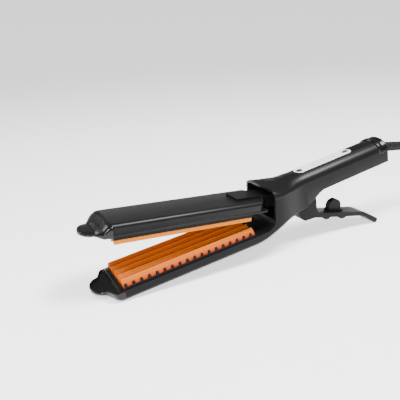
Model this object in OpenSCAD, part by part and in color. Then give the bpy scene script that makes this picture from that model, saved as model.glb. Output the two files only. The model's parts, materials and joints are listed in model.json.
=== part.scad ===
// Hair crimping straightener with two hinged jaws and a squeeze lever under the grip.
// The body is drawn level, with X running from the jaws to the cord and Z up, its zero
// at the front end of the lower heating plate, and is then tilted onto its two rests.

/* [Jaws] */
// Length of each heating plate
plate_l = 116.6; // [100:0.2:130]
// Width of the lower heating plate
plate_w = 41.2; // [36:0.2:44]
// How much narrower the upper plate is than the lower one
plate_step = 0.8; // [0.6:0.1:2]
// Height of the ridges on the plates
ridge_h = 4; // [2:0.1:4.4]
// Number of ridges along the plates
ridges = 5; // [3:1:7]
// Upright gap between the two plates when the jaws are shut
shut_gap = 0.9; // [0.6:0.1:1.6]
// Width over the lower jaw
jaw_w = 46.4; // [44:0.2:52]
// Height of the lower jaw's side wall from its flat bottom to its rim
jaw_h = 9.2; // [8:0.1:14]
// Width over the flange of the upper jaw
upper_w = 43.2; // [40:0.2:46]
// Height of the upper jaw from its flange to its flat top
upper_h = 9.1; // [8:0.1:14]
// Pitch of the comb teeth
tooth_pitch = 6.5; // [5:0.1:9]
// Width of one comb tooth
tooth_w = 1.8; // [1.2:0.1:3]
// Height of the comb teeth above the rim of the lower jaw
tooth_h = 4.8; // [2:0.1:5.2]

/* [Noses] */
// Length of the lobed noses ahead of the plates
nose_l = 21.5; // [16:0.5:26]
// Width of the round lobe of the noses
lobe_w = 25; // [18:0.5:32]
// Number of grooves on the sloping face of the upper nose
grooves = 8; // [4:1:12]

/* [Hinge] */
// Distance from the front of the plates to the hinge pin
pivot_x = 165; // [158:0.5:172]
// Height of the hinge pin above the edge of the lower plate
pivot_z = 12; // [10:0.5:14]
// Angle that the jaws stand open at rest
open_angle = 11.5; // [6:0.5:12]
// Diameter of the hinge pin
pin_d = 4; // [3:0.5:5]
// Radial play of the rocker on its pin
pin_play = 0.06; // [0.03:0.01:0.1]
// Width of the rocker between the bosses
rocker_w = 17; // [14:0.5:18]

/* [Grip] */
// Distance from the front of the plates to the rear face of the grip
body_l = 272.7; // [262:0.1:290]
// Width of the grip
grip_w = 27.4; // [25:0.2:32]
// Height of the roof over the mouth above the plate edge
roof_z = 30.2; // [28:0.2:34]
// Wall of the casings
wall = 2.2; // [1.6:0.1:2.6]
// Slope of the top line of the grip
top_slope = 2.4; // [1:0.1:3]
// Slope of the bottom line and the seam of the grip
seam_slope = 2.2; // [1:0.1:3]

/* [Lever] */
// Thickness of the squeeze lever
lever_t = 4.2; // [3:0.1:5]
// Slope of the lever below the body
lever_slope = 18; // [14:0.5:20]
// Length of the straight part of the lever
lever_l = 52; // [40:1:60]
// Height of the finger tab on the lever
tab_h = 11.5; // [8:0.5:14]
// Length of the finger tab
tab_l = 14; // [10:0.5:18]
// Thickness of the finger tab
tab_t = 5.5; // [4:0.5:8]

/* [Controls] */
// Length of the control strip
strip_l = 63; // [50:1:70]
// Width of the control strip
strip_w = 11; // [9:0.5:13]
// Diameter of the round power button
button_d = 5.2; // [4:0.2:6]
// Travel of the buttons
press = 0.5; // [0.3:0.1:0.8]

/* [Cord] */
// Diameter of the cord
cord_d = 6.6; // [6:0.1:7]
// Length of the strain relief behind the grip
boot_l = 42; // [30:1:60]
// Angle of the strain relief below the body
boot_dip = 14; // [8:1:18]
// Turns of the tied hank that takes the spare length
hank_turns = 6; // [4:1:6]
// Straight length of the hank's runs
hank_run = 68; // [50:1:70]
// Space between neighbouring turns
turn_gap = 0.5; // [0.45:0.05:1]

/* [Hidden] */

$fn = 48;
fit = 0.1;             // gap between fixed pieces that slide together
run = 0.3;             // gap between pieces that move past each other

// Fixed heights and thicknesses of the jaws
rim_z = -2.8;                          // rim of the lower jaw
bottom_z = rim_z - jaw_h;              // flat bottom of the lower jaw
plate_back = -3.4;                     // back of the lower plate
heater_t = 1.4;
flange_z = 7.5;                        // lower rim of the upper jaw when shut
upper_top = flange_z + upper_h;
strip_t = 1.2;                         // thickness of the comb strip
upper_plate_w = plate_w - plate_step;
upper_back = shut_gap + ridge_h + 3.2; // back of the upper plate when shut
edge_h = 3.8;                          // height of the upper plate's visible edge
upper_wall = 1.8;
deck_w = upper_w - 2 * upper_wall - 2.8;             // width of the deck over the plate
back_step = (upper_plate_w - deck_w) / 2 + 1.2;      // how far the plate's back is set in
jaw_end = 133;                         // rear end of the upper jaw
nose_seam = -0.4;                      // joint of the noses
mouth_x = 139.5;                       // front edge of the mouth

// Lines of the body in side and plan view
neck_x = [140, 178];                   // the mouth narrows to the grip
belly_x = [118, 156];                  // the underside rises behind the jaw
heel_x = [174, 198];                   // the underside rises to the grip
belly_rise = 9.3;
heel_rise = 11.1;
corner_r = 7;                          // top corners of the mouth
crease_x = 166;                        // point of the flat roof
crease = 38;                           // sharpness of its crease, in degrees
seam_front = 22.5;
seam_low = 20.4;
seam_x = 172;

function smooth(t) = let(u = min(max(t, 0), 1)) u * u * (3 - 2 * u);
function lerp(a, b, t) = a + (b - a) * t;
function step(x, s) = smooth((x - s[0]) / (s[1] - s[0]));
function arc(cx, cz, r, a0, a1, n) =
    [for (i = [0:n]) let(a = a0 + (a1 - a0) * i / n) [cx + r * cos(a), cz + r * sin(a)]];

function half_w(x) = lerp(jaw_w / 2, grip_w / 2, step(x, neck_x));
function top_at(x) = roof_z + max(0, x - crease_x) * tan(top_slope);
function seam_at(x) = x < seam_x
    ? lerp(seam_front, seam_low, step(x, [mouth_x, seam_x]))
    : seam_low + (x - seam_x) * tan(seam_slope);
function corner_z(x) = lerp(3.6, 1.6, step(x, neck_x));
function corner_y(x) = lerp(5.5, 3, step(x, neck_x));
function floor_at(x) = bottom_z + belly_rise * step(x, belly_x) + heel_rise * step(x, heel_x)
    + max(0, x - heel_x[1]) * tan(seam_slope) + lerp(0, 1.4, step(x, neck_x));
function shoulder_at(x) = lerp(roof_z - corner_r, seam_at(x) + 0.4, step(x, [mouth_x, crease_x]));
function roof_half(x) =
    max(0.05, (jaw_w / 2 - corner_r) * min(1, (crease_x - x) / (crease_x - mouth_x)));
function crease_at(x) =
    crease * sin(180 * min(max((x - mouth_x) / (crease_x - mouth_x), 0), 1));
function bezier(a, b, c, d, t) =
    a * pow(1 - t, 3) + 3 * b * t * pow(1 - t, 2) + 3 * c * t * t * (1 - t) + d * pow(t, 3);

// Half of the body's section at x, from the roof's centre to the floor's centre,
// drawn w inside the skin: flat roof, curved flank, upright side and rounded corner
function half_section(x, w, flank = 7, turn = 3) =
    let(hw = half_w(x) - w, zr = top_at(x) - w, zs = min(shoulder_at(x), zr - 0.5),
        rh = max(0.05, min(roof_half(x), hw - 1)), zf = floor_at(x) + w,
        ry = max(0.5, corner_y(x) - w), rz = max(0.5, corner_z(x) - w),
        p = [rh, zr], q = [hw, zs], k = 0.55, f = crease_at(x),
        p1 = p + k * (hw - rh) * [cos(f), -sin(f)], q1 = q + [0, k * (zr - zs)])
    concat([for (i = [0:flank]) bezier(p, p1, q1, q, i / flank)],
           [for (i = [0:turn]) let(a = 90 * i / turn)
               [hw - ry + ry * cos(a), zf + rz - rz * sin(a)]]);

function ring_at(x, w) =
    let(h = half_section(x, w), n = len(h))
    concat([for (i = [0:n - 1]) [x, h[i][0], h[i][1]]],
           [for (i = [n - 1:-1:0]) [x, -h[i][0], h[i][1]]]);

// Solid through rings of points that all have the same count
module loft(rings) {
    n = len(rings[0]);
    m = len(rings);
    points = [for (r = rings) for (p = r) p];
    sides = [for (j = [0:m - 2]) for (i = [0:n - 1]) for (t = [0, 1])
        let(a = j * n + i, b = j * n + (i + 1) % n)
        t == 0 ? [a, b, a + n] : [b, b + n, a + n]];
    caps = [[for (i = [n - 1:-1:0]) i], [for (i = [0:n - 1]) (m - 1) * n + i]];
    polyhedron(points, concat(sides, caps), convexity = 8);
}

// Flat outline in X and Z, given a width along Y
module across(w, y = 0) {
    translate([0, y, 0]) rotate([90, 0, 0]) linear_extrude(w, center = true) children();
}

// Flat outline in Y and Z, drawn from x over a length
module along(x, l) {
    translate([x, 0, 0]) rotate([90, 0, 90]) linear_extrude(l) children();
}

module bar(x0, x1, w, z0, z1, y = 0) {
    translate([x0, y - w / 2, z0]) cube([x1 - x0, w, z1 - z0]);
}

module cross_cylinder(x, z, r, y0, y1) {
    translate([x, y0, z]) rotate([-90, 0, 0]) cylinder(r = r, h = y1 - y0);
}

module level_cylinder(x0, x1, z, r) {
    translate([x0, 0, z]) rotate([0, 90, 0]) cylinder(r = r, h = x1 - x0);
}

// The rests: the front edge of the flat bottom and the tip of the lever
lever_from = [190.5, -15.1];
bend_r = 22;
bend = 22;
tip_l = 15;
tip_r = 2.6;
function ahead(p, l, slope) = p + l * [cos(slope), -sin(slope)];
bend_from = ahead(lever_from, lever_l, lever_slope);
tip_from = bend_from + bend_r * [
    sin(lever_slope + bend) - sin(lever_slope), cos(lever_slope + bend) - cos(lever_slope)];
tip_at = ahead(tip_from, tip_l, lever_slope + bend);
rest_at = [nose_seam, bottom_z];
reach = norm(tip_at - rest_at);
pitch = atan2(rest_at[1] - tip_at[1], tip_at[0] - rest_at[0]) + asin(tip_r / reach);
lift = -(rest_at[0] * sin(pitch) + rest_at[1] * cos(pitch));
function opened(x, z) = let(a = open_angle, dx = x - pivot_x, dz = z - pivot_z)
    [pivot_x + dx * cos(a) + dz * sin(a), pivot_z - dx * sin(a) + dz * cos(a)];
function world_x(p) = p[0] * cos(pitch) - p[1] * sin(pitch);
function world_z(p) = p[0] * sin(pitch) + p[1] * cos(pitch) + lift;
nose_z = 8.1;                          // height of the upper lobe's edge when shut
tilt_front = world_x(opened(-nose_l, nose_z));
tilt_rear = world_x([body_l, floor_at(body_l) + corner_z(body_l)]);
centre_x = (tilt_front + tilt_rear) / 2;

module placed() {
    translate([-centre_x, 0, lift]) rotate([0, -pitch, 0]) children();
}

// The rocker's pieces are drawn with the jaws shut and swung open about the pin
module swung() {
    placed() translate([pivot_x, 0, pivot_z]) rotate([0, open_angle, 0])
        translate([-pivot_x, 0, -pivot_z]) children();
}

// Body shells
body_x = concat([nose_seam, 60, 118, 126, 133], [mouth_x], [for (x = [144:4:200]) x], [235],
                [body_l]);
cave_x = concat([nose_seam + 1.8, 60, 118, 126, 133], [mouth_x],
                [for (x = [144:4:200]) x], [235], [body_l - 4]);

module body_solid() { loft([for (x = body_x) ring_at(x, 0)]); }
module body_cave() { loft([for (x = cave_x) ring_at(x, wall)]); }

// Everything in front of the mouth and above the rim of the lower jaw
module mouth_cut() {
    across(2 * jaw_w) polygon(concat(
        [[-30, roof_z + 9], [-30, rim_z], [mouth_x - 13.5, rim_z]],
        [for (i = [1:8]) let(a = 90 * i / 8)
            [mouth_x - 13.5 + 11 * sin(a), rim_z + 9 - 9 * cos(a)]],
        [[mouth_x - 0.4, roof_z - 9], [mouth_x, roof_z + 9]]));
}

module seam_half(up) {
    far = body_l + 9;
    edge = up ? roof_z + 30 : bottom_z - 9;
    across(2 * jaw_w) polygon(concat(
        [[-30, edge], [-30, seam_front]],
        [for (i = [0:8]) let(x = lerp(mouth_x, seam_x, i / 8)) [x, seam_at(x)]],
        [[far, seam_at(far)], [far, edge]]));
}

// Way for the rocker through the floor of the body
slot_x = [166, 195.4];
slot_w = rocker_w + 4 * run;
boss_r = 5.6;
boss_y = rocker_w / 2 + run;
pin_l = 2 * (half_w(pivot_x) - wall);
spring_w = 5.2;

// Screw posts: [x, y] of each
posts = [[152, 14.2], [152, -14.2], [body_l - 29.7, 0]];
screw_d = 2.6;
post_d = 6;
head_d = 5;
head_h = 2;

module post_bores() {
    for (p = posts) translate([p[0], p[1], floor_at(p[0])]) {
        translate([0, 0, -2]) cylinder(d = head_d + 2 * fit, h = head_h + 2.4);
        cylinder(d = screw_d + 2 * fit, h = seam_at(p[0]) - floor_at(p[0]) + 1);
    }
}

// Boss that holds one end of the pin, on a web from the floor
module pivot_boss(s) {
    y0 = s > 0 ? boss_y : -half_w(pivot_x);
    cross_cylinder(pivot_x, pivot_z, boss_r, y0, y0 + half_w(pivot_x) - boss_y);
    translate([pivot_x - 1.5, y0, floor_at(pivot_x)])
        cube([3, half_w(pivot_x) - boss_y, pivot_z - floor_at(pivot_x)]);
}

module lower_casing() {
    color("#1b1b1d") placed() difference() {
        intersection() {
            body_solid();
            seam_half(false);
            union() {
                difference() {
                    translate([-30, -jaw_w, bottom_z - 1]) cube([body_l + 60, 2 * jaw_w, 80]);
                    body_cave();
                    mouth_cut();
                }
                for (s = [-1, 1]) pivot_boss(s);
                for (p = posts) translate([p[0], p[1], floor_at(p[0]) + 0.6])
                    cylinder(d = post_d + 1.6, h = seam_at(p[0]) - floor_at(p[0]) - 0.6);
                jaw_deck();
                board_ribs();
                clamp_saddle();
                spring_stop();
            }
        }
        // seat of the comb and edge strips
        bar(nose_seam - 1, plate_l + 1.2, plate_w + 2 * (strip_gap + strip_t + fit),
            strip_base, rim_z + 9);
        across(slot_w) polygon([[slot_x[0], -20], [slot_x[1], -20], [slot_x[1], pivot_z],
                                [slot_x[0] + 4, pivot_z], [slot_x[0], 4]]);
        cross_cylinder(pivot_x, pivot_z, pin_d / 2 + fit / 4, -pin_l / 2 - fit, pin_l / 2 + fit);
        post_bores();
        cord_way();
        level_cylinder(clamp_x - 4, clamp_x + 4, elbow[2], cord_d / 2);
        for (s = [-1, 1]) translate([clamp_x, s * clamp_y, clamp_z - clamp_screw])
            cylinder(d = clamp_d, h = clamp_screw);
    }
}

// Sheet that closes the jaw behind the plate and curves up to the mouth
deck_t = 1.6;
module jaw_deck() {
    difference() {
        intersection() {
            translate([1.1, 0, -deck_t]) mouth_cut();
            bar(plate_l + 0.6, mouth_x - 2, 2 * jaw_w, bottom_z, 5);
        }
        mouth_cut();
    }
}

// Ribs that carry the circuit board
rib_x = [198, 229];
module board_ribs() {
    for (x = rib_x) intersection() {
        bar(x, x + 1.8, grip_w, floor_at(x) + 0.6, seam_front + 9);
        on_top() translate([-strip_l, -grip_w, board_z - board_t - 60]) cube([2 * strip_l, 2 * grip_w, 60]);
    }
}

// Web and posts under the cord clamp
module clamp_saddle() {
    low = floor_at(clamp_x) + 0.6;
    bar(clamp_x - 1.2, clamp_x + 1.2, 2 * clamp_y + 3, low, seam_front + 9);
    for (s = [-1, 1]) translate([clamp_x, s * clamp_y, low]) cylinder(d = 5.4, h = 20);
}

// Rib that the fixed leg of the spring bears on
module spring_stop() {
    translate([pivot_x - spring_mid + spring_wire / 2, rocker_w / 2 - spring_slot,
               floor_at(pivot_x) + 0.6])
        cube([1.6, spring_slot + run, pivot_z - 8 - floor_at(pivot_x)]);
}

strip_x = 207.5;                      // middle of the control strip
strip_deep = 0.8;                     // depth of the strip below the skin
panel_t = 1.6;
pad_t = 1.7;                          // thickness of the cover under the strip
key_x = [-strip_l / 2 + 5.2, strip_l / 2 - 5.4];
mode_l = 6.4;
mode_w = 3.8;

// On the top line of the grip, with X along it
module on_top() {
    translate([strip_x, 0, top_at(strip_x)]) rotate([0, -top_slope, 0]) children();
}

module stadium(l, w, h, z) {
    translate([0, 0, z]) linear_extrude(h) union() {
        square([l - w, w], center = true);
        for (s = [-1, 1]) translate([s * (l - w) / 2, 0]) circle(d = w);
    }
}

module top_cover() {
    color("#222224") placed() difference() {
        intersection() {
            body_solid();
            union() {
                difference() {
                    seam_half(true);
                    body_cave();
                }
                on_top() stadium(strip_l + 3, strip_w + 3, panel_t + pad_t,
                                 -strip_deep - panel_t - pad_t);
                for (p = posts) translate([p[0], p[1], seam_at(p[0]) + fit])
                    cylinder(d = post_d, h = 20);
            }
        }
        mouth_cut();
        on_top() {
            stadium(strip_l + 2 * fit, strip_w + 2 * fit, 9, -strip_deep - panel_t);
            translate([key_x[0], 0, -9]) cylinder(d = button_d + 2 * run, h = 9);
            translate([key_x[1], 0, 0]) stadium(mode_l + 2 * run, mode_w + 2 * run, 9, -9);
        }
        for (p = posts) translate([p[0], p[1], seam_at(p[0]) - 1])
            cylinder(d = screw_d - 0.4, h = 6);
        cord_way();
        collar_seat();
    }
}

// Lobed noses: a half width that bells out from a round lobe to the jaw's width
function lobe_half(x, w) =
    let(r = lobe_w / 2, c = -nose_l + r, u = min(1, max(0, (c - x) / r)),
        lobe = r * sqrt(1 - u * u))
    max(0.8, lerp(lobe, w, smooth((x + nose_l - 7.5) / 9)));
function nose_stations(n) = [for (i = [0:n]) let(t = i / n)
    nose_seam - (nose_l + nose_seam) * (1 - pow(1 - t, 1.7))];
function power_point(a, w, h, k) =
    [w * sign(cos(a)) * pow(abs(cos(a)), 2 / k), h * sign(sin(a)) * pow(abs(sin(a)), 2 / k)];

lip_w = 1.3;                            // raised rim of the lower nose
dish = 1.8;                             // depth of its dished top

// Half of a ring of the lower nose: the dished top, then the hull under it
function lower_nose_half(x) =
    let(hw = lobe_half(x, jaw_w / 2), t = (x + nose_l) / (nose_l + nose_seam),
        lip = min(lip_w, hw / 3), d = 0.06 + dish * smooth((x + nose_l - 1) / 3)
            * (1 - smooth((x + 5) / 2)),
        deep = lerp(3.4, jaw_h, smooth(t * 1.15)))
    concat([[hw - 2.2 * lip, rim_z - d], [hw - lip, rim_z]],
           [for (i = [0:5]) let(a = -90 * i / 5, p = power_point(a, hw, deep, 3.4))
               [p[0], rim_z + p[1]]]);

module lower_nose() {
    color("#18181a") placed() {
        loft([for (x = nose_stations(13)) let(h = lower_nose_half(x), n = len(h))
            concat([for (i = [0:n - 1]) [x, -h[i][0], h[i][1]]],
                   [for (i = [n - 2:-1:0]) [x, h[i][0], h[i][1]]])]);
        for (i = [0, 1]) bar(nose_seam - 1.2 - 2.2 * i, nose_seam - 0.4 - 2.2 * i,
                             plate_w, rim_z - 1, rim_z + 1.6);
    }
}

// Ring of the upper nose: a crowned top over a shallow bottom
function upper_nose_ring(x) =
    let(hw = lobe_half(x, upper_w / 2), s = smooth((x + 13) / 12.6),
        up = lerp(1.6, upper_top - nose_z, s) * smooth((x + nose_l + 2.5) / 6),
        down = lerp(1.8, nose_z - flange_z + 2.2, s), k = lerp(2.4, 6, s))
    [for (i = [0:27]) let(a = 360 * i / 28, p = power_point(a, hw, a < 180 ? up : down,
                                                         a < 180 ? k : 3))
        [x, p[0], nose_z + p[1]]];

module upper_nose() {
    color("#1a1a1c") swung() difference() {
        loft([for (x = nose_stations(15)) upper_nose_ring(x)]);
        for (i = [0:grooves - 1]) let(y = (i - (grooves - 1) / 2) * 2)
            translate([-9.5, y, upper_top - 3.1]) rotate([0, -42, 0])
                cube([9, 0.8, 3], center = true);
    }
}

// Zigzag line of the ridges over a width, from one edge to the other
function zigzag(w, z, n = ridges) = let(p = plate_w / n) concat(
    [[-w / 2, z + ridge_h * (1 - abs(1 - 2 * ((plate_w - w) / 2) / p))]],
    [for (i = [1:2 * n - 1]) [-plate_w / 2 + i * p / 2, z + (i % 2 == 1 ? ridge_h : 0)]],
    [[w / 2, z + ridge_h * (1 - abs(1 - 2 * ((plate_w - w) / 2) / p))]]);

module lower_plate() {
    color("#e8853f") placed() along(0, plate_l) polygon(concat(
        [[plate_w / 2, plate_back], [-plate_w / 2, plate_back]], zigzag(plate_w, 0)));
}

module upper_plate() {
    w = upper_plate_w / 2;
    color("#e8853f") swung() along(0, plate_l) polygon(concat(
        [[w, shut_gap + edge_h], [w - back_step, shut_gap + edge_h], [w - back_step, upper_back],
         [back_step - w, upper_back], [back_step - w, shut_gap + edge_h],
         [-w, shut_gap + edge_h]],
        zigzag(upper_plate_w, shut_gap)));
}

heater_x = [8, plate_l - 8];
heater_w = 26;

module lower_heater() {
    color("#d9d4c8") placed()
        bar(heater_x[0], heater_x[1], heater_w, plate_back - heater_t, plate_back);
}

module upper_heater() {
    color("#d9d4c8") swung()
        bar(heater_x[0], heater_x[1], heater_w, upper_back, upper_back + heater_t);
}

module lower_carrier() {
    color("#2a2826") placed() difference() {
        bar(nose_seam + 2, plate_l, plate_w - 6, bottom_z + wall, plate_back);
        bar(heater_x[0] - fit, heater_x[1] + fit, heater_w + 2 * fit,
            plate_back - heater_t, plate_back + 1);
        for (i = [0:3]) bar(12 + 25 * i, 30 + 25 * i, heater_w - 4, bottom_z, plate_back);
    }
}

// Black frame round the upper plate; its lower edge shows as a dark band
module upper_carrier() {
    w = upper_plate_w / 2;
    color("#242220") swung() difference() {
        union() {
            bar(0, plate_l, 2 * w, shut_gap + edge_h, flange_z);
            rounded_end(deck_w, 0, cave_end - fit, cave_r - fit, flange_z, upper_back + 1.2);
        }
        bar(-1, plate_l, 2 * (w - back_step), shut_gap, upper_back);
        bar(heater_x[0] - 1, heater_x[1] + 1, heater_w + 2, shut_gap, upper_back + 3);
    }
}

strip_base = rim_z - 2.6;
strip_gap = 0.2;                       // between a strip and the plate beside it
teeth = floor((plate_l - 4) / tooth_pitch) + 1;

module side_strip(s) {
    bar(0, plate_l + 1, strip_t, strip_base, rim_z + 1.4, s * (plate_w / 2 + strip_gap + strip_t / 2));
}

module comb_strip() {
    y = -(plate_w / 2 + strip_gap + strip_t / 2);
    color("#151515") placed() {
        side_strip(-1);
        for (i = [0:teeth - 1]) let(x = 1.4 + i * tooth_pitch) {
            cross_cylinder(x, rim_z + tooth_h - tooth_w / 2, tooth_w / 2,
                           y - strip_t / 2, y + strip_t / 2);
            bar(x - tooth_w / 2, x + tooth_w / 2, strip_t, rim_z, rim_z + tooth_h - tooth_w / 2, y);
        }
    }
}

module edge_strip() { color("#151515") placed() side_strip(1); }

module pivot_pin() {
    color("#c8c9cc") placed()
        cross_cylinder(pivot_x, pivot_z, pin_d / 2, -pin_l / 2, pin_l / 2);
}

// Tube swept along points, with the same number of sides all the way
function unit(v) = v / norm(v);
function tangent(p, i) = unit(p[min(i + 1, len(p) - 1)] - p[max(i - 1, 0)]);
function tube_ring(p, i, r, sides, first, last) =
    let(t = i == 0 ? first : i == len(p) - 1 ? last : tangent(p, i),
        u = unit(cross([0, 0.01, 1], t)), v = cross(t, u))
    [for (k = [0:sides - 1]) let(a = 360 * (k + 0.5) / sides)
        p[i] + r * (cos(a) * u + sin(a) * v)];
module tube(p, r, sides, first, last) {
    loft([for (i = [0:len(p) - 1]) tube_ring(p, i, r, sides, first, last)]);
}

// Torsion spring round the pin, beside the rocker's short side
spring_turns = 3;
spring_wire = 1.1;
spring_mid = pin_d / 2 + 1.9;
spring_slot = 1.4;                     // recess in the rocker for the spring's fixed leg
spring_leg = 9;
function spring_point(a) = [pivot_x + spring_mid * cos(a),
    rocker_w / 2 - spring_w + 0.1 + spring_wire / 2 + (spring_wire + 0.05) * a / 360,
    pivot_z + spring_mid * sin(a)];
module opening_spring() {
    turn = 360 / 14;
    coil = [for (a = [0:turn:360 * spring_turns + 180]) spring_point(a)];
    n = len(coil);
    pts = concat([coil[0] + [0, -3, -0.5], coil[0] + [0, -1, -0.3]], coil,
                 [coil[n - 1] - [0, 0, 3], coil[n - 1] - [0, 0, spring_leg]]);
    color("#9a9da1") placed() loft([for (i = [0:len(pts) - 1])
        let(t = tangent(pts, i), u = unit(cross([0, 1, 0.02], t)), v = cross(t, u))
        [for (k = [0:5]) pts[i] + spring_wire / 2 * (cos(60 * k) * u + sin(60 * k) * v)]]);
}

// Controls
lamp_n = 6;
module control_panel() {
    color("#e9eaec") placed() on_top() difference() {
        stadium(strip_l, strip_w, panel_t, -strip_deep - panel_t);
        translate([key_x[0], 0, -9]) cylinder(d = button_d + 2 * run, h = 9);
        translate([key_x[1], 0, 0]) stadium(mode_l + 2 * run, mode_w + 2 * run, 9, -9);
        for (i = [0:lamp_n - 1]) translate([lamp_at(i), 0, -9]) cylinder(d = 1.8, h = 9);
    }
}
function lamp_at(i) = -10 + i * 5.6;

module panel_lamps() {
    color("#8fa3b5") placed() on_top() for (i = [0:lamp_n - 1])
        translate([lamp_at(i), 0, -strip_deep - panel_t]) cylinder(d = 1.6, h = panel_t + 0.1);
}

flange_top = -strip_deep - panel_t - pad_t - fit;
module power_button() {
    color("#3a3b3e") placed() on_top() translate([key_x[0], 0, 0]) {
        translate([0, 0, flange_top - 0.9])
            cylinder(d = button_d, h = 0.9 - flange_top - strip_deep + 0.5);
        translate([0, 0, flange_top - 0.9]) cylinder(d = button_d + 2, h = 0.9);
    }
}
module mode_button() {
    color("#3a3b3e") placed() on_top() translate([key_x[1], 0, 0]) {
        stadium(mode_l, mode_w, 0.9 - flange_top - strip_deep + 0.5, flange_top - 0.9);
        stadium(mode_l + 2, mode_w + 2, 0.9, flange_top - 0.9);
    }
}

key_h = 3;
board_t = 1.6;
board_z = flange_top - 0.9 - press - 0.2 - key_h;   // top of the circuit board
board_w = grip_w - 2 * wall - 3;
board_end = strip_x + key_x[1] + 4;
board_low = top_at(board_end) + board_z - board_t;
module circuit_board() {
    color("#2f6b45") placed() on_top()
        translate([key_x[0] - 4, -board_w / 2, board_z - board_t])
            cube([key_x[1] - key_x[0] + 8, board_w, board_t]);
}
module key_switches() {
    color("#d8d8d8") placed() on_top() for (x = key_x) translate([x, 0, board_z]) {
        translate([-3, -3, 0]) cube([6, 6, key_h - 0.7]);
        cylinder(d = 3, h = key_h);
    }
}
module thermal_fuse() {
    color("#b9b2a0") placed() on_top()
        translate([-6, -4, board_z - board_t - 2]) rotate([0, 90, 0]) cylinder(d = 4, h = 12);
}

// Rear end: cap with a raised collar over the arch, and the way out for the cord
exit_z = 25;
cap_t = 4;
function rear_axis(l) = [body_l + l * cos(boot_dip), 0, exit_z - l * sin(boot_dip)];
module cord_axis() { translate([body_l, 0, exit_z]) rotate([0, 90 + boot_dip, 0]) children(); }
module cord_way() {
    intersection() {
        translate([body_l - cap_t - fit, -jaw_w, -20]) cube([20, 2 * jaw_w, 80]);
        loft([for (x = [body_l - 12, body_l + 9]) ring_at(x, wall + 0.6)]);
    }
}
collar_x = [body_l - 10.7, body_l - 5.7];
function collar_ring(x, out) = let(h = half_section(x, -out), n = 8)
    concat([for (i = [0:n - 1]) [x, h[i][0], h[i][1]]], [[x, half_w(x) + out, seam_at(x)]],
           [[x, -half_w(x) - out, seam_at(x)]],
           [for (i = [n - 1:-1:0]) [x, -h[i][0], h[i][1]]]);
module collar_seat() {
    loft([for (x = [collar_x[0], body_l + 2]) collar_ring(x, 3)]);
}
module end_cap() {
    a = collar_x[0];
    b = collar_x[1];
    color("#151517") placed() difference() {
        union() {
            intersection() {
                loft([collar_ring(a + fit, 0), collar_ring(a + 1, 1.2), collar_ring(b - 1, 1.4),
                      collar_ring(b, 0.3), collar_ring(b + 2, 0.2), collar_ring(b + 3, 0.8),
                      collar_ring(body_l - 0.6, 0.8), collar_ring(body_l, 0.2)]);
                seam_half(true);
            }
            loft([for (x = [body_l - cap_t, body_l]) ring_at(x, wall + 0.7)]);
        }
        loft([for (x = [a - 2, body_l - cap_t]) ring_at(x, wall)]);
        cord_axis() translate([0, 0, -12]) cylinder(d = boot_base + 2 * fit, h = 30);
    }
}

// Way of the cord inside: level, and into the neck of the strain relief
elbow = [body_l - cap_t, 0, exit_z + cap_t * tan(boot_dip)];
module cord_route(x0) { level_cylinder(x0, elbow[0] + 2, elbow[2], cord_d / 2); }

boot_base = 9.4;
boot_tip = 8.2;
boot_flange = 2.5;
rib_n = 9;
module strain_relief() {
    pitch_r = (boot_l - 6) / rib_n;
    color("#1c1c1e") placed() difference() {
        union() {
            cord_axis() {
                translate([0, 0, -cap_t - 0.5]) cylinder(d = boot_base, h = cap_t + 3.5);
                cylinder(d1 = boot_base - 1.4, d2 = boot_tip - 0.8, h = boot_l);
                for (i = [0:rib_n - 1])
                    let(z = 5 + i * pitch_r, r = lerp(boot_base, boot_tip, z / boot_l))
                    translate([0, 0, z]) cylinder(d = r, h = pitch_r * 0.62);
                translate([0, 0, boot_l - 3]) cylinder(d = boot_tip, h = 3);
            }
            level_cylinder(elbow[0] - boot_flange, elbow[0], elbow[2], boot_base / 2 + 0.9);
        }
        cord_route(elbow[0] - 2 * boot_flange);
    }
}

clamp_x = body_l - 15.7;
clamp_y = 7;
clamp_d = 2.2;
clamp_t = 2.2;
clamp_screw = 6;
clamp_z = seam_at(clamp_x + 3) + fit;      // underside of the clamp
cord_start = clamp_x - 6.5;
module inner_cord() { color("#101010") placed() cord_route(cord_start); }

module cord_clamp() {
    color("#3b3b3d") placed() difference() {
        union() {
            bar(clamp_x - 3, clamp_x + 3, 2 * clamp_y + 4, clamp_z, clamp_z + clamp_t);
            level_cylinder(clamp_x - 3, clamp_x + 3, elbow[2], cord_d / 2 + 1.5);
        }
        bar(clamp_x - 4, clamp_x + 4, grip_w, clamp_z - 9, clamp_z);
        level_cylinder(clamp_x - 4, clamp_x + 4, elbow[2], cord_d / 2);
        for (s = [-1, 1]) translate([clamp_x, s * clamp_y, clamp_z - 1])
            cylinder(d = clamp_d + 2 * fit, h = 9);
    }
}
module clamp_screws() {
    color("#b8babd") placed() for (s = [-1, 1]) translate([clamp_x, s * clamp_y, clamp_z]) {
        translate([0, 0, fit - clamp_screw]) cylinder(d = clamp_d, h = clamp_screw + clamp_t);
        translate([0, 0, clamp_t]) cylinder(d = 3.8, h = 1.3);
    }
}
wire_r = 0.8;
module lead_wires() {
    low = board_low - wire_r - 0.3;
    for (s = [-1, 1]) color("#7a4a2a") placed() tube(
        [[board_end - 4, s * 6, low], [board_end + 3, s * 6, low],
         [board_end + 8, s * 5.4, elbow[2] - 1.5], [cord_start - 2.5, s * 3.4, elbow[2] - 0.2],
         [cord_start, s * 1.5, elbow[2]]], wire_r, 6, [1, 0, 0], [1, 0, 0]);
}

module casing_screws() {
    color("#b8babd") placed() for (p = posts)
        translate([p[0], p[1], floor_at(p[0]) + 0.4]) {
            cylinder(d = head_d, h = head_h);
            cylinder(d = screw_d - 0.5, h = seam_at(p[0]) - floor_at(p[0]) + 3.6);
        }
}

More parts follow.
